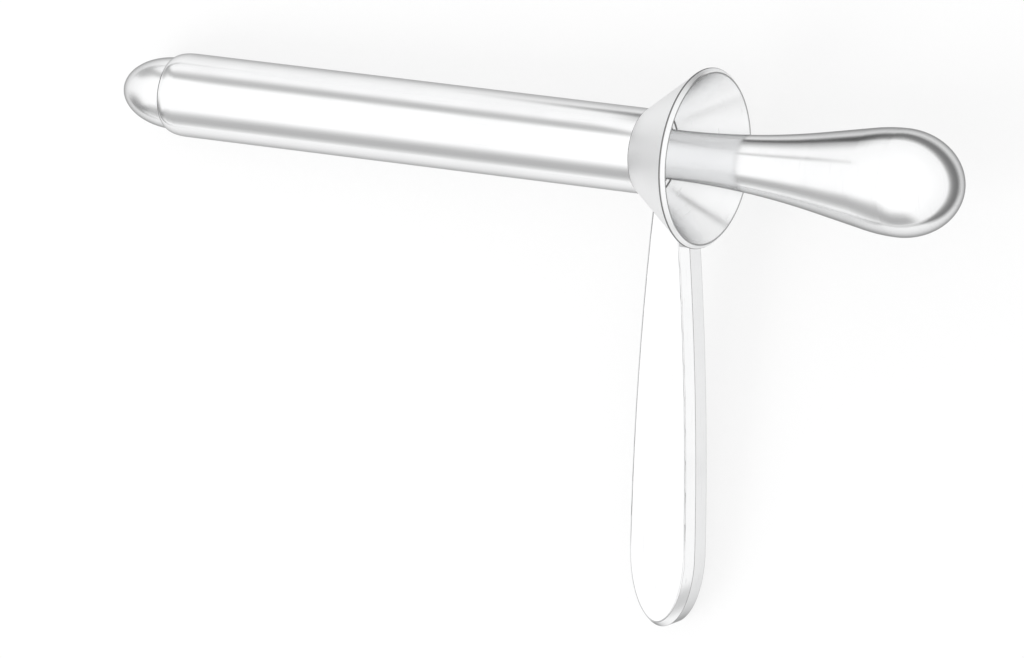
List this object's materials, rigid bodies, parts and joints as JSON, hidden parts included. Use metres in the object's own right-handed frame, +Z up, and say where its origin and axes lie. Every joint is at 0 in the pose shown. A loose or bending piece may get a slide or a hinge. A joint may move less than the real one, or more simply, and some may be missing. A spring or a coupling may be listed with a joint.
{
  "type": "anal speculum",
  "caption": "Tubular anal speculum: straight tube, flared mouth and flat side handle, with a rounded obturator and pear-shaped grip in place, lying on its side.",
  "frame": {"origin": "middle of the box round the instrument as it lies on its side, on the surface it lies on", "axes": "+Z up from the surface; seen from above the tube runs along X with the grip towards +X; the handle points towards -Y. The tube's own axis rises towards the grip by the resting angle."},
  "size_m": [0.2476, 0.145, 0.0463],
  "materials": {
    "tube_metal": "polished",
    "funnel_metal": "polished",
    "handle_metal": "polished",
    "tip_metal": "polished",
    "rod_metal": "satin",
    "grip_metal": "polished"
  },
  "bodies": {
    "speculum": {"speculum_tube": "tube_metal", "funnel": "funnel_metal", "handle": "handle_metal"},
    "obturator": {"obturator_tip": "tip_metal", "obturator_rod": "rod_metal", "stop_collar": "rod_metal", "obturator_grip": "grip_metal"}
  },
  "joints": [
    {"name": "obturator_slide", "type": "slide", "parent": "speculum", "child": "obturator", "axis": [0.9969, 0, 0.0786], "range_m": [0, 0.18]}
  ]
}
